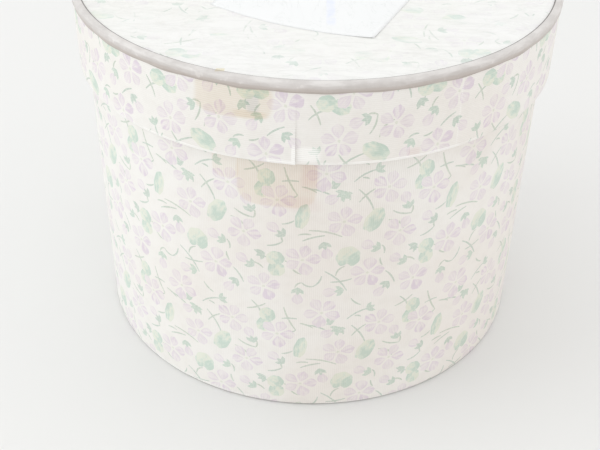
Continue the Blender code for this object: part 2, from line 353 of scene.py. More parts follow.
class Path:
    """The line that a paper follows in its section, as radius and height along its length."""

    def __init__(self, start):
        self.points = [start]
        self.rows = [0.0]
        self.lengths = [0.0]

    def line_to(self, radius, height):
        last = self.points[-1]
        run = math.hypot(radius - last[0], height - last[1])
        steps = max(1, round(run / (ROW_HEIGHT * MM)))
        begin = self.lengths[-1]
        self.points.append((radius, height))
        self.lengths.append(begin + run)
        self.rows += [begin + run * step / steps for step in range(1, steps + 1)]

    def bend(self, centre_radius, centre_height, start, end, steps=4):
        for step in range(1, steps + 1):
            angle = math.radians(start + (end - start) * step / steps)
            radius = centre_radius + PAPER_BEND * math.cos(angle)
            height = centre_height + PAPER_BEND * math.sin(angle)
            last = self.points[-1]
            self.points.append((radius, height))
            self.lengths.append(self.lengths[-1] + math.hypot(radius - last[0], height - last[1]))
            self.rows.append(self.lengths[-1])

    def measure_from(self, height):
        """Count lengths so that on the outer wall they are the distance above this height."""
        outer = max(point[0] for point in self.points)
        wall = [number for number, point in enumerate(self.points) if point[0] > outer - 1e-7]
        shift = self.points[wall[-1]][1] - height - self.lengths[wall[-1]]
        self.lengths = [length + shift for length in self.lengths]
        self.rows = [row + shift for row in self.rows]

    def at(self, along):
        radius = np.interp(along, self.lengths, [point[0] for point in self.points])
        height = np.interp(along, self.lengths, [point[1] for point in self.points])
        return radius, height


def body_path():
    """From under the foot, up the wall, over the rim and down the inside."""
    bend = PAPER_BEND
    foot, rim = BODY_LOW.z, BODY_HIGH.z
    path = Path((BODY_RADIUS - FOOT_TURN_IN, foot))
    path.line_to(BODY_RADIUS - bend, foot)
    path.bend(BODY_RADIUS - bend, foot + bend, -90, 0)
    path.line_to(BODY_RADIUS, rim - bend)
    path.bend(BODY_RADIUS - bend, rim - bend, 0, 90)
    path.line_to(BODY_INSIDE + bend, rim)
    path.bend(BODY_INSIDE + bend, rim - bend, 90, 180)
    path.line_to(BODY_INSIDE, rim - PAPER - GLUE - RIM_TURN_IN)
    path.measure_from(0.0)
    return path


def skirt_path():
    """From inside the skirt, down, round its lower edge and up the outside."""
    bend = PAPER_BEND
    foot = SKIRT_LOW.z
    path = Path((SKIRT_INSIDE, foot + SKIRT_TURN_IN))
    path.line_to(SKIRT_INSIDE, foot + bend)
    path.bend(SKIRT_INSIDE + bend, foot + bend, 180, 270)
    path.line_to(LID_RADIUS - bend, foot)
    path.bend(LID_RADIUS - bend, foot + bend, -90, 0)
    path.line_to(LID_RADIUS, SKIRT_HIGH.z)
    path.measure_from(SKIRT_PRINT_LIFT)
    return path


def thick_sheet(name, mesh, place, thickness, scale=MM):
    """Lift a flat sheet into space with place(s, t), and give it its thickness inwards."""
    count = len(mesh.vertices)
    flat = np.empty(count * 3)
    mesh.vertices.foreach_get("co", flat)
    flat = flat.reshape(-1, 3)
    s, t = flat[:, 0] * scale, flat[:, 1] * scale
    step = 0.05 * MM
    outer = place(s, t)
    along_s = place(s + step, t) - place(s - step, t)
    along_t = place(s, t + step) - place(s, t - step)
    normal = np.cross(along_s, along_t)
    normal /= np.linalg.norm(normal, axis=1)[:, None]
    triangles = np.empty(len(mesh.loops), np.int64)
    mesh.loops.foreach_get("vertex_index", triangles)
    triangles = triangles.reshape(-1, 3)
    sides = free_edges(triangles)
    walls = np.c_[sides[:, 1], sides[:, 0], sides[:, 0] + count, sides[:, 1] + count]
    backs = triangles[:, ::-1] + count
    faces = triangles.tolist() + backs.tolist() + walls.tolist()
    solid = bpy.data.meshes.new(name)
    solid.from_pydata(np.concatenate([outer, outer - normal * thickness]).tolist(), [], faces)
    front_loops = len(triangles) * 3
    inks = np.zeros((len(solid.loops), 3), np.float32)
    flat_inks = np.empty(front_loops * 3, np.float32)
    mesh.attributes["ink"].data.foreach_get("vector", flat_inks)
    inks[:front_loops] = flat_inks.reshape(-1, 3)
    solid.attributes.new("ink", "FLOAT_VECTOR", "CORNER").data.foreach_set("vector", inks.reshape(-1))
    kinds = np.full(len(solid.polygons), float(BARE), np.float32)
    flat_kinds = np.empty(len(triangles), np.float32)
    mesh.attributes["kind"].data.foreach_get("value", flat_kinds)
    kinds[: len(triangles)] = flat_kinds
    solid.attributes.new("kind", "FLOAT", "FACE").data.foreach_set("value", kinds)
    solid.shade_smooth()
    normals = np.zeros((len(solid.loops), 3))
    normals[:front_loops] = normal[triangles.reshape(-1)]
    normals[front_loops : 2 * front_loops] = -normal[triangles[:, ::-1].reshape(-1)]
    solid.normals_split_custom_set(normals.tolist())
    bpy.data.meshes.remove(mesh)
    return linked(name, solid)


def free_edges(triangles):
    """Edges with one triangle only, each in that triangle's direction."""
    edges = np.concatenate([triangles[:, [0, 1]], triangles[:, [1, 2]], triangles[:, [2, 0]]])
    ordered = np.sort(edges, axis=1)
    _, first, count = np.unique(ordered, axis=0, return_index=True, return_counts=True)
    return edges[first[count == 1]]


def linked(name, mesh):
    piece = bpy.data.objects.new(name, mesh)
    bpy.context.scene.collection.objects.link(piece)
    return piece


def swell(angle, height, reach=0.35 * MM):
    """How far old board has bellied out of round, from nothing to reach."""
    wave = 0.6 * np.sin(2.0 * angle + 0.8) + 0.25 * np.sin(5.0 * angle + 21.0 * height)
    wave += 0.15 * np.sin(11.0 * angle - 35.0 * height)
    return reach * (0.5 + 0.5 * wave)


FRONT = math.radians(-90.0)
BODY_SEAM = -2.96 * BODY_RADIUS
BODY_LAP = 8.0 * MM
SKIRT_SEAM = -18.0 * MM
SKIRT_LAP = 9.0 * MM
SKIRT_REPEATS = 10
SKIRT_SCALE = 2.0 * math.pi * LID_RADIUS / MM / SKIRT_REPEATS / REPEAT_HEIGHT
SKIRT_PRINT_SHIFT = 147.5 * MM
SKIRT_PRINT_LIFT = 138.0 * MM


def lap_lift(beyond):
    """How far the end of a wrapped paper stands out where it lies on its own start."""
    ramp = np.clip(beyond / (1.5 * MM) + 1.0, 0.0, 1.0)
    return (SHEET + 0.04 * MM) * ramp * ramp * (3.0 - 2.0 * ramp)


def make_body_cover():
    path = body_path()
    around = 2.0 * math.pi * BODY_RADIUS

    def place(s, t):
        radius, height = path.at(t)
        angle = FRONT + s / BODY_RADIUS
        outward = np.clip((radius - BODY_RADIUS + 1.0 * MM) / MM, 0.0, 1.0)
        lift = lap_lift(s - BODY_SEAM - around)
        radius = radius + outward * (swell(angle, height) + lift)
        return np.stack([radius * np.cos(angle), radius * np.sin(angle), height], axis=1)

    rows = [row / MM for row in path.rows]
    flat = long_sheet(UPRIGHT, BODY_SEAM / MM, (around + BODY_LAP) / MM, rows)
    cover = thick_sheet("printed_body_cover", flat, place, SHEET)
    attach(cover, "box")
    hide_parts("body_cover")
    return cover


def make_skirt_paper():
    path = skirt_path()
    around = 2.0 * math.pi * LID_RADIUS
    foot = SKIRT_LOW.z

    def place(s, t):
        radius, height = path.at(t)
        arc = s * SKIRT_SCALE + SKIRT_PRINT_SHIFT
        angle = FRONT + arc / LID_RADIUS
        outward = np.clip((radius - LID_RADIUS + 1.0 * MM) / MM, 0.0, 1.0)
        beyond = arc - SKIRT_SEAM - around
        free_end = np.clip((beyond - SKIRT_LAP + 6.0 * MM) / (6.0 * MM), 0.0, 1.0) ** 2
        loose = free_end * np.clip(1.0 - (height - foot) / (22.0 * MM), 0.0, 1.0)
        lift = lap_lift(beyond) + 0.8 * MM * loose
        radius = radius + outward * (swell(angle, 0.0, 0.2 * MM) + lift)
        return np.stack([radius * np.cos(angle), radius * np.sin(angle), height], axis=1)

    rows = [row / MM for row in path.rows]
    start = (SKIRT_SEAM - SKIRT_PRINT_SHIFT) / SKIRT_SCALE / MM
    flat = long_sheet(SIDEWAYS, start, (around + SKIRT_LAP) / SKIRT_SCALE / MM, rows)
    paper = thick_sheet("printed_skirt_paper", flat, place, SHEET)
    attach(paper, "lid")
    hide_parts("skirt_paper")
    return paper


def round_sheet(radius):
    """The print cut to a disc: repeats laid side by side, with the edge drawn in to the circle."""
    rows = list(np.linspace(0.0, REPEAT_HEIGHT, round(REPEAT_HEIGHT / ROW_HEIGHT) + 1))
    one = print_patch(UPRIGHT, 0.0, REPEAT_WIDTH, rows)
    across = math.ceil(radius / REPEAT_WIDTH)
    down = math.ceil(radius / REPEAT_HEIGHT)
    patches = []
    for line in range(-down, down):
        for column in range(-across, across):
            patches.append(shifted(one, column * REPEAT_WIDTH, line * REPEAT_HEIGHT))
    mesh = joined(patches)
    work = bmesh.new()
    work.from_mesh(mesh)
    beyond = [face for face in work.faces if all(vert.co.length >= radius for vert in face.verts)]
    bmesh.ops.delete(work, geom=beyond, context="FACES")
    for vert in work.verts:
        if vert.co.length > radius:
            vert.co *= radius / vert.co.length
    bmesh.ops.remove_doubles(work, verts=work.verts, dist=0.01)
    work.to_mesh(mesh)
    work.free()
    return mesh


LID_PRINT_TURN = math.radians(90.0)


def cockle(x, y):
    """How far the lid's old paper stands off its board, from nothing to 0.2 mm."""
    wave = np.sin(38.0 * x + 2.0 + 1.5 * np.sin(48.0 * y)) * np.sin(88.0 * y + 1.6 * np.sin(31.0 * x))
    fine = np.sin(64.0 * x + 2.4 * np.sin(110.0 * y)) * np.sin(370.0 * y + 2.2 * np.sin(71.0 * x))
    return 0.07 * MM * (1.0 + wave) + 0.03 * MM * (1.0 + fine)


def make_lid_paper():
    top = LID_PAPER_HIGH.z
    flat = round_sheet(LID_PAPER_HIGH.x / MM)

    def place(s, t):
        x = s * math.cos(LID_PRINT_TURN) - t * math.sin(LID_PRINT_TURN)
        y = s * math.sin(LID_PRINT_TURN) + t * math.cos(LID_PRINT_TURN)
        return np.stack([x, y, top + cockle(x, y)], axis=1)

    paper = thick_sheet("printed_lid_paper", flat, place, SHEET)
    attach(paper, "lid")
    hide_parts("lid_top_paper")
    return paper


# ---------------------------------------------------------------- edging and label


# How far the edging reaches in over the lid
EDGING_REACH = 4.2 * MM


def make_edging():
    """Grey paper rolled over the lid's edge, pasted down with small wrinkles and an uneven edge."""
    around, outer = 360, EDGING_HIGH.x
    top, foot = EDGING_HIGH.z, EDGING_LOW.z
    bend = 1.9 * MM
    section = [(outer - EDGING_REACH, top - 0.25 * MM), (outer - 3.6 * MM, top - 0.02 * MM)]
    for step in range(8):
        angle = math.radians(90.0 - 90.0 * step / 7.0)
        section.append((outer - bend + bend * math.cos(angle), top - bend + bend * math.sin(angle)))
    section += [(outer, foot + 1.8 * MM), (outer - 0.12 * MM, foot + 0.8 * MM), (outer - 0.45 * MM, foot)]
    section += [(outer - EDGING, foot), (outer - EDGING, top - bend - 0.4 * MM)]
    for step in range(4):
        angle = math.radians(90.0 * step / 3.0)
        inner = bend - EDGING
        section.append((outer - bend + inner * math.cos(angle), top - bend + inner * math.sin(angle)))
    section.append((outer - EDGING_REACH, top - EDGING))
    count = len(section)
    verts, faces = [], []
    for number in range(around):
        angle = 2.0 * math.pi * number / around
        wrinkle = 0.10 * math.sin(61.0 * angle + 3.0 * math.sin(7.0 * angle))
        wrinkle += 0.08 * math.sin(97.0 * angle + 2.0 * math.sin(5.0 * angle))
        ragged = 0.22 * math.sin(23.0 * angle) + 0.15 * math.sin(41.0 * angle + 1.0)
        for place, (radius, height) in enumerate(section):
            share = 1.0 if 1 <= place <= 11 else 0.0
            drop = ragged * MM if 10 <= place <= 13 else 0.0
            reach = radius + share * wrinkle * MM * 0.7
            verts.append((reach * math.cos(angle), reach * math.sin(angle), height - drop))
        for place in range(count):
            a = number * count + place
            b = number * count + (place + 1) % count
            c = ((number + 1) % around) * count + (place + 1) % count
            d = ((number + 1) % around) * count + place
            faces.append((a, b, c, d))
    mesh = bpy.data.meshes.new("rolled_edging")
    mesh.from_pydata(verts, [], faces)
    mesh.shade_smooth()
    mesh.set_sharp_from_angle(angle=math.radians(50.0))
    edging = linked("rolled_edging", mesh)
    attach(edging, "lid")
    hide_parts("edging_band")
    return edging


LABEL_PLACE = (-1.0 * MM, -38.0 * MM)
LABEL_WIDTH = 88.0 * MM
LABEL_DEPTH = 60.0 * MM
LABEL_BOW = 6.0 * MM
LABEL_TURN = math.radians(-24.0)
LABEL_CORNER = 5.0 * MM


def make_label():
    """Blank paper label, pasted on slightly cockled, with one corner creased and lifted."""
    columns, lines = 44, 30
    centre_x, centre_y = LABEL_PLACE
    foot = LID_PAPER_HIGH.z + 0.06 * MM
    verts = []
    for line in range(lines + 1):
        v = line / lines
        for column in range(columns + 1):
            u = column / columns
            x = (u - 0.5) * LABEL_WIDTH
            bow = LABEL_BOW * (1.0 - (2.0 * u - 1.0) ** 2) * (1.0 - v) ** 2
            y = (v - 0.5) * LABEL_DEPTH - bow
            from_side = min(u, 1.0 - u) * LABEL_WIDTH
            if v > 0.5 and from_side < LABEL_CORNER:
                inset = LABEL_CORNER - math.sqrt(max(0.0, LABEL_CORNER**2 - (LABEL_CORNER - from_side) ** 2))
                y -= inset * (2.0 * v - 1.0) ** 3
            fold = max(0.0, (u - 0.80) / 0.20 + (0.30 - v) / 0.30 - 0.9)
            lift = 0.3 * MM * min(fold, 1.0) ** 1.5
            px = centre_x + x * math.cos(LABEL_TURN) - y * math.sin(LABEL_TURN)
            py = centre_y + x * math.sin(LABEL_TURN) + y * math.cos(LABEL_TURN)
            verts.append((px, py, foot + float(cockle(px, py)) + lift))
    faces = []
    for line in range(lines):
        for column in range(columns):
            a = line * (columns + 1) + column
            faces.append((a, a + 1, a + columns + 2, a + columns + 1))
    mesh = bpy.data.meshes.new("blank_label")
    mesh.from_pydata(verts, [], faces)
    mesh.shade_smooth()
    label = linked("blank_label", mesh)
    solidify = label.modifiers.new("thickness", "SOLIDIFY")
    solidify.thickness = 0.10 * MM
    solidify.offset = 1.0
    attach(label, "lid")
    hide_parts("top_label")
    return label


# ---------------------------------------------------------------- materials


def srgb(red, green, blue):
    """A colour given as screen values from 0 to 255, as linear light."""
    linear = []
    for value in (red, green, blue):
        share = value / 255.0
        linear.append(share / 12.92 if share <= 0.04045 else ((share + 0.055) / 1.055) ** 2.4)
    return (*linear, 1.0)


class Graph:
    """Short calls for building a node material."""

    def __init__(self, name, roughness):
        self.material = bpy.data.materials.new(name)
        self.material.use_nodes = True
        self.tree = self.material.node_tree
        self.shader = self.tree.nodes["Principled BSDF"]
        self.shader.inputs["Roughness"].default_value = roughness
        self.shader.inputs["Specular IOR Level"].default_value = 0.3

    def feed(self, socket, value):
        if isinstance(value, bpy.types.NodeSocket):
            self.tree.links.new(value, socket)
        elif value is not None:
            socket.default_value = value

    def math(self, operation, first, second=None, third=None):
        node = self.tree.nodes.new("ShaderNodeMath")
        node.operation = operation
        for socket, value in zip(node.inputs, (first, second, third)):
            self.feed(socket, value)
        return node.outputs[0]

    def times(self, first, second):
        return self.math("MULTIPLY", first, second)

    def plus(self, first, second):
        return self.math("ADD", first, second)

    def minus(self, first, second):
        return self.math("SUBTRACT", first, second)

    def band(self, value, start, end, low=0.0, high=1.0):
        """A smooth step from low at start to high at end."""
        node = self.tree.nodes.new("ShaderNodeMapRange")
        node.interpolation_type = "SMOOTHSTEP"
        for socket, entry in zip(node.inputs, (value, start, end, low, high)):
            self.feed(socket, entry)
        return node.outputs[0]

    def vector(self, x, y, z):
        node = self.tree.nodes.new("ShaderNodeCombineXYZ")
        for socket, value in zip(node.inputs, (x, y, z)):
            self.feed(socket, value)
        return node.outputs[0]

    def split(self, vector):
        node = self.tree.nodes.new("ShaderNodeSeparateXYZ")
        self.feed(node.inputs[0], vector)
        return node.outputs

    def noise(self, vector, scale, detail=2.0, rough=0.5, distortion=0.0):
        node = self.tree.nodes.new("ShaderNodeTexNoise")
        self.feed(node.inputs["Vector"], vector)
        node.inputs["Scale"].default_value = scale
        node.inputs["Detail"].default_value = detail
        node.inputs["Roughness"].default_value = rough
        node.inputs["Distortion"].default_value = distortion
        return node.outputs["Fac"]

    def mix(self, share, first, second, blend="MIX"):
        node = self.tree.nodes.new("ShaderNodeMix")
        node.data_type = "RGBA"
        node.blend_type = blend
        self.feed(node.inputs["Factor"], share)
        self.feed(node.inputs[6], first)
        self.feed(node.inputs[7], second)
        return node.outputs[2]

    def attribute(self, name):
        node = self.tree.nodes.new("ShaderNodeAttribute")
        node.attribute_name = name
        return node

    def place(self):
        node = self.tree.nodes.new("ShaderNodeTexCoord")
        return node.outputs["Object"]

    def bump(self, height, distance, strength=1.0):
        node = self.tree.nodes.new("ShaderNodeBump")
        node.inputs["Strength"].default_value = strength
        node.inputs["Distance"].default_value = distance
        self.feed(node.inputs["Height"], height)
        self.feed(self.shader.inputs["Normal"], node.outputs["Normal"])

    def colour(self, value):
        self.feed(self.shader.inputs["Base Color"], value)

    def rough(self, value):
        self.feed(self.shader.inputs["Roughness"], value)


CREAM = srgb(239, 237, 233)
CREAM_AGED = srgb(234, 229, 223)
BARE_PAPER = srgb(250, 249, 246)

# Inks and stains are linear filters over the paper's own colour
PETAL_PALE = (0.95, 0.91, 0.965, 1.0)
PETAL_MID = (0.88, 0.80, 0.915, 1.0)
PETAL_DEEP = (0.68, 0.53, 0.78, 1.0)
LEAF_PALE = (0.80, 0.90, 0.74, 1.0)
LEAF_MID = (0.62, 0.82, 0.69, 1.0)
LEAF_DEEP = (0.34, 0.63, 0.51, 1.0)
STEM_GREEN = (0.27, 0.50, 0.40, 1.0)
STEM_OLIVE = (0.34, 0.50, 0.35, 1.0)
SEPAL_GREEN = (0.36, 0.64, 0.50, 1.0)
EYE_GREEN = (0.76, 0.82, 0.70, 1.0)
TAPE_STAIN = (0.94, 0.89, 0.83, 1.0)
RED_STAIN = (0.93, 0.85, 0.85, 1.0)
OCHRE_STAIN = (0.93, 0.88, 0.81, 1.0)
GREY_STAIN = (0.81, 0.86, 0.93, 1.0)
WHITE = (1.0, 1.0, 1.0, 1.0)
OCHRE_SPOT = (-43.0 * MM, -118.5 * MM)
OCHRE_SPOT_COLOUR = (0.93, 0.87, 0.70, 1.0)


def petal_ink(graph, u, v, tone, place):
    """A petal: a pale wash, deeper streaks from its foot, one dark blotch, and a darker soft rim."""
    along = graph.math("POWER", graph.math("MAXIMUM", u, 0.001), PETAL_SWELL)
    width = graph.math("POWER", graph.math("SINE", graph.times(along, math.pi)), PETAL_ROUND)
    across = graph.math("DIVIDE", graph.math("ABSOLUTE", v), graph.math("MAXIMUM", width, 0.05))
    grain = graph.noise(place, 700.0, 2.0)
    ragged = graph.plus(across, graph.times(graph.minus(grain, 0.5), 0.3))
    cover = graph.band(ragged, 0.84, 1.04, 1.0, 0.0)
    rim = graph.times(graph.band(ragged, 0.55, 0.85), graph.band(ragged, 1.0, 0.9))
    seed = graph.times(tone, 37.0)
    fan = graph.math("DIVIDE", v, graph.math("MAXIMUM", width, 0.2))
    lines = graph.vector(graph.times(fan, 3.0), graph.times(u, 0.7), seed)
    streak = graph.band(graph.noise(lines, 1.8, 2.0, 0.6), 0.48, 0.60)
    blotches = graph.noise(graph.vector(u, v, seed), 1.6, 1.0)
    dark = graph.band(blotches, 0.44, 0.64)
    washed = graph.band(graph.math("FRACT", graph.times(tone, 7.3)), 0.1, 0.9, 0.15, 1.0)
    colour = graph.mix(graph.times(graph.band(blotches, 0.34, 0.62), washed), PETAL_PALE, PETAL_MID)
    colour = graph.mix(graph.times(rim, 0.45), colour, PETAL_DEEP)
    colour = graph.mix(graph.times(streak, graph.band(u, 0.95, 0.2, 0.05, 0.55)), colour, PETAL_DEEP)
    colour = graph.mix(graph.times(dark, graph.times(washed, 0.85)), colour, PETAL_DEEP)
    return graph.mix(cover, WHITE, colour)


def leaf_ink(graph, u, v, tone, place):
    """A leaf: wet greens run together, from yellow-green at one side to deep green at the other."""
    seed = graph.times(tone, 29.0)
    turn = graph.times(tone, 5.0)
    across = graph.times(u, graph.math("COSINE", turn))
    side = graph.plus(across, graph.times(v, graph.math("SINE", turn)))
    blotches = graph.noise(graph.vector(u, v, seed), 1.7, 3.0, 0.6)
    depth = graph.plus(blotches, graph.times(side, 0.17))
    colour = graph.mix(graph.band(depth, 0.38, 0.50), LEAF_PALE, LEAF_MID)
    colour = graph.mix(graph.band(depth, 0.47, 0.64), colour, LEAF_DEEP)
    fan = graph.math("ARCTAN2", v, graph.plus(u, 0.95))
    vein = graph.band(graph.math("ABSOLUTE", graph.math("SINE", graph.times(fan, 4.5))), 0.2, 0.0)
    return graph.mix(graph.times(vein, 0.3), colour, LEAF_PALE)


def mark_cover(graph, arc, height, mark):
    """How much a stain or scrape covers: a rounded box in arc and height with a ragged edge."""
    middle_arc, middle_height, half_arc, half_height, soft, rag = mark
    side = graph.math("DIVIDE", graph.minus(arc, middle_arc * MM), half_arc * MM)
    rise = graph.math("DIVIDE", graph.minus(height, middle_height * MM), half_height * MM)
    fourth = graph.plus(graph.math("POWER", side, 4.0), graph.math("POWER", rise, 4.0))
    wobble = graph.times(graph.minus(graph.noise(graph.place(), 110.0, 4.0), 0.5), rag)
    return graph.band(graph.plus(graph.math("POWER", fourth, 0.25), wobble), 1.0 + soft, 1.0 - soft)


def wrinkles(graph, place):
    """Fine creases that run level across the lid, from 0 in the flat to 1 on a crease."""
    x, y, z = graph.split(place)
    stretched = graph.vector(graph.times(x, 0.22), y, z)
    folds = graph.noise(stretched, 190.0, 3.0, 0.6, 0.6)
    return graph.band(graph.math("ABSOLUTE", graph.minus(folds, 0.5)), 0.05, 0.0)


def faded_streaks(graph, place):
    """How much of the lid's print is left: it has worn away in level streaks."""
    x, y, z = graph.split(place)
    stretched = graph.vector(graph.times(x, 0.35), y, z)
    return graph.band(graph.noise(stretched, 120.0, 2.0), 0.44, 0.60, 0.12, 1.0)


def ochre_spot(graph, place, colour):
    """A drip of old varnish where the lid's paper meets the edging."""
    x, y, _ = graph.split(place)
    side = graph.math("ABSOLUTE", graph.minus(x, OCHRE_SPOT[0]))
    depth = graph.math("ABSOLUTE", graph.minus(y, OCHRE_SPOT[1]))
    away = graph.plus(graph.math("MAXIMUM", side, depth), graph.times(graph.noise(place, 500.0), MM))
    return graph.mix(graph.band(away, 3.0 * MM, 2.0 * MM), colour, OCHRE_SPOT_COLOUR, "MULTIPLY")


def printed_paper(
    name, rib_field, strength, radius=None, stains=(), scrapes_and_highlights=(), papers=(CREAM, CREAM_AGED), blush=1.0
):
    """Cream ribbed paper printed with violets, with its stains, scraped places, worn edges, painted
    highlights, and painted shade in its rib grooves.

    A wall's paper has the radius it is wrapped at, and the lid's has none.
    """
    graph = Graph(name, 0.5)
    place = graph.place()
    u, v, tone = graph.split(graph.attribute("ink").outputs["Vector"])
    kind = graph.attribute("kind").outputs["Fac"]
    mask = {number: graph.math("COMPARE", kind, float(number), 0.4) for number in range(1, 7)}
    ageing_and_side_light = graph.noise(place, 14.0, 3.0)
    if radius:
        # Painted light: on a wall, the paper is painted paler towards the left, where the light comes from,
        # and darker towards the right
        painted_left_light = graph.band(graph.split(place)[0], -0.9 * radius, 0.1 * radius, -0.16, 0.08)
        ageing_and_side_light = graph.plus(ageing_and_side_light, painted_left_light)
    paper = graph.mix(graph.band(ageing_and_side_light, 0.3, 0.72), *papers)
    cloud = graph.noise(place, 160.0, 3.0, 0.6)
    paper = graph.mix(graph.band(cloud, 0.4, 0.7, 0.0, 0.6), paper, (0.955, 0.95, 0.945, 1.0), "MULTIPLY")
    grain = graph.noise(place, 1100.0, 2.0)
    thin = graph.band(grain, 0.3, 0.6, 0.6, 1.0)
    ink = graph.mix(graph.times(mask[PETAL], blush), WHITE, petal_ink(graph, u, v, tone, place))
    ink = graph.mix(mask[LEAF], ink, leaf_ink(graph, u, v, tone, place))
    ink = graph.mix(graph.times(mask[STEM], thin), ink, graph.mix(tone, STEM_GREEN, STEM_OLIVE))
    ink = graph.mix(graph.times(mask[SEPAL], thin), ink, graph.mix(tone, SEPAL_GREEN, STEM_GREEN))
    ink = graph.mix(mask[EYE], ink, EYE_GREEN)
    if not radius:
        strength = graph.times(faded_streaks(graph, place), strength)
    colour = graph.mix(strength, paper, ink, "MULTIPLY")
    rib = rib_field(graph, place)
    # Painted shade: the paper is darkened in the grooves between its ribs
    groove = graph.band(rib, -0.2, -0.9, 0.0, 0.3 if radius else 0.2)
    colour = graph.mix(groove, colour, (0.93, 0.92, 0.91, 1.0), "MULTIPLY")
    if radius:
        x, y, z = graph.split(place)
        arc = graph.times(graph.math("ARCTAN2", x, graph.times(y, -1.0)), radius)
        for mark, stain_colour, amount in stains:
            cover = graph.times(mark_cover(graph, arc, z, mark), amount)
            cover = graph.times(cover, graph.band(rib, 0.6, -0.6, 0.75, 1.1))
            colour = graph.mix(cover, colour, stain_colour, "MULTIPLY")
        for mark, amount in scrapes_and_highlights:
            cover = graph.times(mark_cover(graph, arc, z, mark), amount)
            cover = graph.times(cover, graph.band(rib, -0.7, 0.1, 0.35, 1.0))
            colour = graph.mix(cover, colour, BARE_PAPER)
    fibres = graph.times(graph.noise(place, 500.0, 3.0), 0.5)
    relief = graph.plus(fibres, graph.times(rib, 0.3))
    if not radius:
        crease = wrinkles(graph, place)
        # Painted shade: the lid's paper is darkened along its creases
        colour = graph.mix(graph.times(crease, 0.5), colour, (0.93, 0.935, 0.93, 1.0), "MULTIPLY")
        colour = ochre_spot(graph, place, colour)
        relief = graph.plus(relief, graph.times(crease, 1.2))
    graph.colour(graph.mix(mask[BARE], colour, BARE_PAPER))
    graph.rough(graph.band(grain, 0.2, 0.8, 0.36, 0.5))
    graph.bump(relief, 0.12 * MM, 0.6)
    return graph.material


RIB_PITCH = 1.05 * MM


def upright_ribs(graph, place):
    x, y, _ = graph.split(place)
    ribs_round = round(2.0 * math.pi * BODY_RADIUS / RIB_PITCH)
    return graph.math("SINE", graph.times(graph.math("ARCTAN2", y, x), float(ribs_round)))


def level_ribs(graph, place):
    height = graph.split(place)[2]
    return graph.math("SINE", graph.times(height, 2.0 * math.pi / RIB_PITCH))


def lid_ribs(graph, place):
    x, y, _ = graph.split(place)
    along = graph.times(x, math.cos(LID_PRINT_TURN) * 2.0 * math.pi / RIB_PITCH)
    across = graph.times(y, math.sin(LID_PRINT_TURN) * 2.0 * math.pi / RIB_PITCH)
    return graph.math("SINE", graph.plus(along, across))


def plain_paper(name, colour, aged, roughness, fibre=600.0):
    """Unprinted paper: fibres, soft mottling and a few rust-brown age spots."""
    graph = Graph(name, roughness)
    place = graph.place()
    mottle = graph.band(graph.noise(place, 22.0, 4.0), 0.35, 0.7)
    shade = graph.mix(mottle, colour, aged)
    spots = graph.band(graph.noise(place, 95.0, 2.0), 0.70, 0.80, 0.0, 0.35)
    shade = graph.mix(spots, shade, srgb(188, 150, 108))
    fibres = graph.noise(place, fibre, 4.0, 0.6)
    graph.colour(graph.mix(graph.band(fibres, 0.3, 0.7, 0.0, 0.12), shade, aged))
    graph.rough(graph.band(fibres, 0.2, 0.8, roughness - 0.06, roughness + 0.1))
    graph.bump(fibres, 0.1 * MM, 0.5)
    return graph.material


def edging_paper():
    """Grey glazed paper, painted pale on the crown as a highlight, painted darker and browner down its side
    and at its foot as shade, and with a painted shadow line along its inner edge.
    """
    graph = Graph("edging_paper", 0.4)
    place = graph.place()
    x, y, z = graph.split(place)
    mottle = graph.noise(place, 120.0, 5.0, 0.65)
    streaks = graph.noise(graph.vector(x, y, graph.times(z, 6.0)), 90.0, 4.0, 0.6)
    shade = graph.mix(graph.band(mottle, 0.3, 0.7), srgb(198, 193, 189), srgb(211, 206, 203))
    wander = graph.plus(z, graph.times(graph.minus(streaks, 0.5), 2.4 * MM))
    # Painted highlight: the crown is painted paler, where the light falls on it
    crown_highlight = graph.band(wander, EDGING_HIGH.z - 1.6 * MM, EDGING_HIGH.z - 0.3 * MM)
    crown = graph.mix(graph.band(streaks, 0.35, 0.65), srgb(202, 198, 195), srgb(223, 220, 217))
    shade = graph.mix(graph.times(crown_highlight, 0.8), shade, crown)
    # Painted shade: the side is painted darker and browner towards its foot
    painted_side_shade = graph.band(wander, EDGING_HIGH.z - 1.9 * MM, EDGING_LOW.z + 1.6 * MM)
    shade = graph.mix(graph.times(painted_side_shade, 0.7), shade, srgb(186, 176, 169))
    # Painted shade along the foot, under the edging's lip
    foot = graph.band(wander, EDGING_LOW.z + 1.3 * MM, EDGING_LOW.z + 0.4 * MM)
    shade = graph.mix(graph.times(foot, 0.3), shade, srgb(150, 135, 124))
    radius = graph.math("SQRT", graph.plus(graph.times(x, x), graph.times(y, y)))
    brim = EDGING_HIGH.x - EDGING_REACH
    # Painted shadow: a dark line along the edging's inner edge, where it laps onto the lid's paper
    inner_edge_shadow = graph.band(radius, brim + 0.9 * MM, brim + 0.25 * MM)
    shade = graph.mix(graph.times(inner_edge_shadow, 0.9), shade, srgb(84, 78, 74))
    nicks = graph.band(graph.noise(place, 240.0, 3.0), 0.67, 0.73)
    shade = graph.mix(graph.times(nicks, 0.4), shade, srgb(228, 224, 220))
    graph.colour(ochre_spot(graph, place, shade))
    graph.rough(graph.band(mottle, 0.2, 0.8, 0.28, 0.46))
    graph.bump(graph.noise(place, 420.0, 5.0, 0.7), 0.2 * MM, 0.7)
    return graph.material


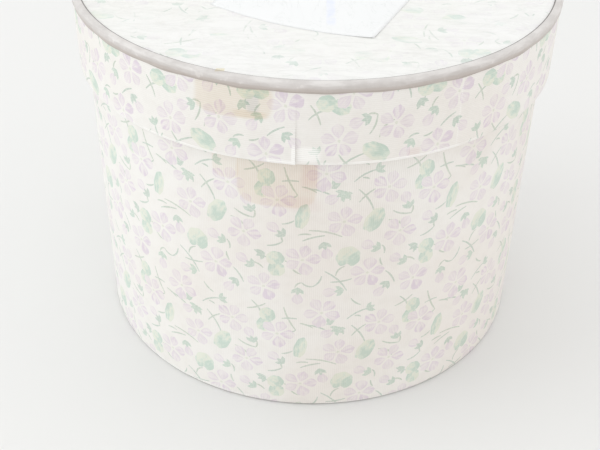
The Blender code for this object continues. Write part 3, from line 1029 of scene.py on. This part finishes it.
def label_paper():
    """Thin white label with a cool cast, a blue pencil smear and small creases with painted shade in them.
    """
    graph = Graph("label_paper", 0.5)
    place = graph.place()
    x, y, _ = graph.split(place)
    mottle = graph.band(graph.noise(place, 26.0, 4.0), 0.35, 0.7)
    shade = graph.mix(mottle, srgb(236, 237, 237), srgb(234, 235, 235))
    side = graph.math("ABSOLUTE", graph.minus(x, 7.0 * MM))
    smear = graph.times(graph.band(side, 3.0 * MM, 1.0 * MM), graph.band(y, -72.0 * MM, -64.0 * MM))
    patchy = graph.band(graph.noise(place, 150.0, 3.0), 0.35, 0.6, 0.25, 1.0)
    shade = graph.mix(graph.times(smear, patchy), shade, srgb(226, 230, 243))
    creases = graph.noise(graph.vector(x, graph.times(y, 0.35), 0.0), 120.0, 3.0, 0.6, 0.8)
    crease = graph.band(graph.math("ABSOLUTE", graph.minus(creases, 0.5)), 0.012, 0.0)
    # Painted shade: the label is darkened along its creases
    graph.colour(graph.mix(graph.times(crease, 0.25), shade, srgb(206, 212, 208)))
    graph.rough(graph.band(mottle, 0.0, 1.0, 0.45, 0.58))
    graph.bump(graph.plus(graph.noise(place, 500.0, 3.0), crease), 0.08 * MM, 0.5)
    return graph.material


def bare_board():
    """Grey pasteboard: long fibres and darker specks."""
    graph = Graph("bare_board", 0.9)
    place = graph.place()
    fibres = graph.noise(place, 320.0, 5.0, 0.7)
    shade = graph.mix(graph.band(fibres, 0.3, 0.7), srgb(168, 156, 140), srgb(190, 180, 164))
    specks = graph.band(graph.noise(place, 700.0, 1.0), 0.72, 0.78, 0.0, 0.6)
    graph.colour(graph.mix(specks, shade, srgb(110, 98, 84)))
    graph.bump(fibres, 0.2 * MM, 0.5)
    return graph.material


def floor_paper():
    graph = Graph("floor_paper", 0.85)
    place = graph.place()
    soft = graph.noise(place, 3.0, 2.0)
    graph.colour(graph.mix(soft, srgb(229, 229, 228), srgb(228, 228, 226)))
    return graph.material


def wear(piece, material):
    """Give a piece one material in place of any it has."""
    piece.data.materials.clear()
    piece.data.materials.append(material)


# Middle arc, middle height, half arc, half height, softness, raggedness; then colour and strength
BODY_STAINS = (
    ((-18.0, 150.0, 19.5, 16.0, 0.05, 0.10), TAPE_STAIN, 1.0),
    ((-43.0, 156.0, 7.0, 9.5, 0.06, 0.12), TAPE_STAIN, 0.6),
    ((-2.0, 154.0, 4.0, 8.0, 0.5, 0.6), RED_STAIN, 0.9),
    ((-7.0, 136.5, 9.0, 4.0, 0.5, 0.7), RED_STAIN, 0.5),
)
BODY_SCRAPES = (
    ((-362.6, 100.0, 0.4, 101.0, 0.4, 0.5), 0.7),
    ((-75.0, 1.0, 42.0, 1.6, 0.5, 1.2), 0.9),
    ((30.0, 0.6, 26.0, 1.2, 0.5, 1.2), 0.7),
)
SKIRT_STAINS = (
    ((-38.0, 193.0, 18.5, 9.5, 0.08, 0.18), OCHRE_STAIN, 1.0),
    ((-30.0, 186.0, 8.0, 1.8, 0.3, 0.5), OCHRE_STAIN, 0.8),
    ((-28.5, 191.5, 3.0, 4.5, 0.3, 0.5), GREY_STAIN, 0.7),
    ((47.0, 164.5, 3.0, 2.5, 0.4, 0.5), RED_STAIN, 0.7),
)
SKIRT_SCRAPES_AND_HIGHLIGHTS = (
    # The white line along the lifted free end of the paper: its torn white edge, with a painted highlight
    ((-9.9, 166.5, 0.95, 6.0, 0.25, 0.3), 1.0),
    ((-3.0, 167.5, 5.6, 4.0, 0.3, 0.6), 0.95),
    ((-15.5, 162.6, 7.0, 1.5, 0.25, 0.6), 1.0),
    ((40.0, 161.6, 40.0, 1.5, 0.4, 1.5), 1.0),
    ((-70.0, 161.6, 40.0, 1.3, 0.4, 1.5), 1.0),
    # A thin pale line down a crease: a painted highlight on the fold
    ((70.0, 181.0, 0.35, 20.0, 0.6, 0.6), 0.35),
)


# How strongly each paper's print shows. The lid's print and its petals are set paler than the walls' as
# painted glare, for the light washing out the lid's top
BODY_PRINT = 0.47
SKIRT_PRINT = 0.50
LID_PRINT = 0.32
LID_BLUSH = 0.55
LID_PAPERS = (srgb(237, 237, 235), srgb(235, 235, 231))


def dress(cover, skirt, lid_paper, edging, label):
    for piece, name, ribs, strength, radius, stains, scrapes_and_highlights in (
        (cover, "body_print", upright_ribs, BODY_PRINT, BODY_RADIUS, BODY_STAINS, BODY_SCRAPES),
        (skirt, "skirt_print", level_ribs, SKIRT_PRINT, LID_RADIUS, SKIRT_STAINS, SKIRT_SCRAPES_AND_HIGHLIGHTS),
    ):
        wear(piece, printed_paper(name, ribs, strength, radius, stains, scrapes_and_highlights))
    wear(lid_paper, printed_paper("lid_print", lid_ribs, LID_PRINT, papers=LID_PAPERS, blush=LID_BLUSH))
    wear(edging, edging_paper())
    wear(label, label_paper())
    lining = plain_paper("lining_paper", srgb(240, 237, 230), srgb(234, 230, 220), 0.7)
    tape = plain_paper("gummed_tape", srgb(186, 150, 108), srgb(164, 128, 90), 0.6)
    board = bare_board()
    for names, material in (
        (("wall_lining", "base_lining", "base_paper", "lid_lining", "skirt_lining"), lining),
        (("wall_seam_tape", "skirt_seam_tape"), tape),
        (("wall_board", "base_board", "lid_board", "skirt_board"), board),
    ):
        for name in names:
            wear(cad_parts[name], material)


# ---------------------------------------------------------------- stage


FLOOR_SIZE = 8.0


def make_floor():
    bpy.ops.mesh.primitive_plane_add(size=FLOOR_SIZE, location=(0.0, 0.0, 0.0))
    floor = bpy.context.object
    floor.name = "floor"
    wear(floor, floor_paper())


ROOM_LIGHT = 0.91
LIGHT_TARGET = Vector((0.0, 0.0, 0.1))
# name, place, width, power in watts, colour
LIGHTS = (
    ("overhead", (-0.3, 0.4, 2.5), 2.4, 8.0, (1.0, 1.0, 1.0)),
    ("window", (-2.2, -0.3, 1.1), 2.0, 16.0, (0.94, 0.985, 1.0)),
    ("front_fill", (0.6, -2.2, 0.9), 2.4, 4.0, (1.0, 0.94, 0.92)),
    ("side_fill", (2.2, 0.2, 0.8), 2.4, 8.5, (1.0, 0.98, 0.965)),
)


def add_area_light(name, place, size, power, colour):
    light = bpy.data.lights.new(name, "AREA")
    light.shape = "DISK"
    light.size = size
    light.energy = power
    light.color = colour
    lamp = bpy.data.objects.new(name, light)
    bpy.context.scene.collection.objects.link(lamp)
    lamp.location = place
    lamp.rotation_euler = (LIGHT_TARGET - Vector(place)).to_track_quat("-Z", "Y").to_euler()


def make_lights():
    """A white room with soft light from above, cooler from the left and warmer from the front."""
    world = bpy.data.worlds.new("studio")
    world.use_nodes = True
    background = world.node_tree.nodes["Background"]
    background.inputs["Color"].default_value = (1.0, 1.0, 1.0, 1.0)
    background.inputs["Strength"].default_value = ROOM_LIGHT
    bpy.context.scene.world = world
    for name, place, size, power, colour in LIGHTS:
        add_area_light(name, place, size, power, colour)


def make_camera():
    camera = bpy.data.objects.new("camera", bpy.data.cameras.new("camera"))
    bpy.context.scene.collection.objects.link(camera)
    camera.data.lens = CAMERA_LENS
    camera.data.sensor_width = 36.0
    camera.data.clip_start = 0.01
    camera.location = CAMERA_PLACE
    tilt = Matrix.Rotation(math.pi / 2.0 - CAMERA_PITCH, 3, "X")
    turn = Matrix.Rotation(CAMERA_YAW, 3, "Z")
    camera.rotation_euler = (turn @ tilt @ Matrix.Rotation(CAMERA_ROLL, 3, "Z")).to_euler()
    bpy.context.scene.camera = camera


make_camera()
dress(make_body_cover(), make_skirt_paper(), make_lid_paper(), make_edging(), make_label())
make_floor()
make_lights()
bpy.context.scene.view_settings.view_transform = "Standard"
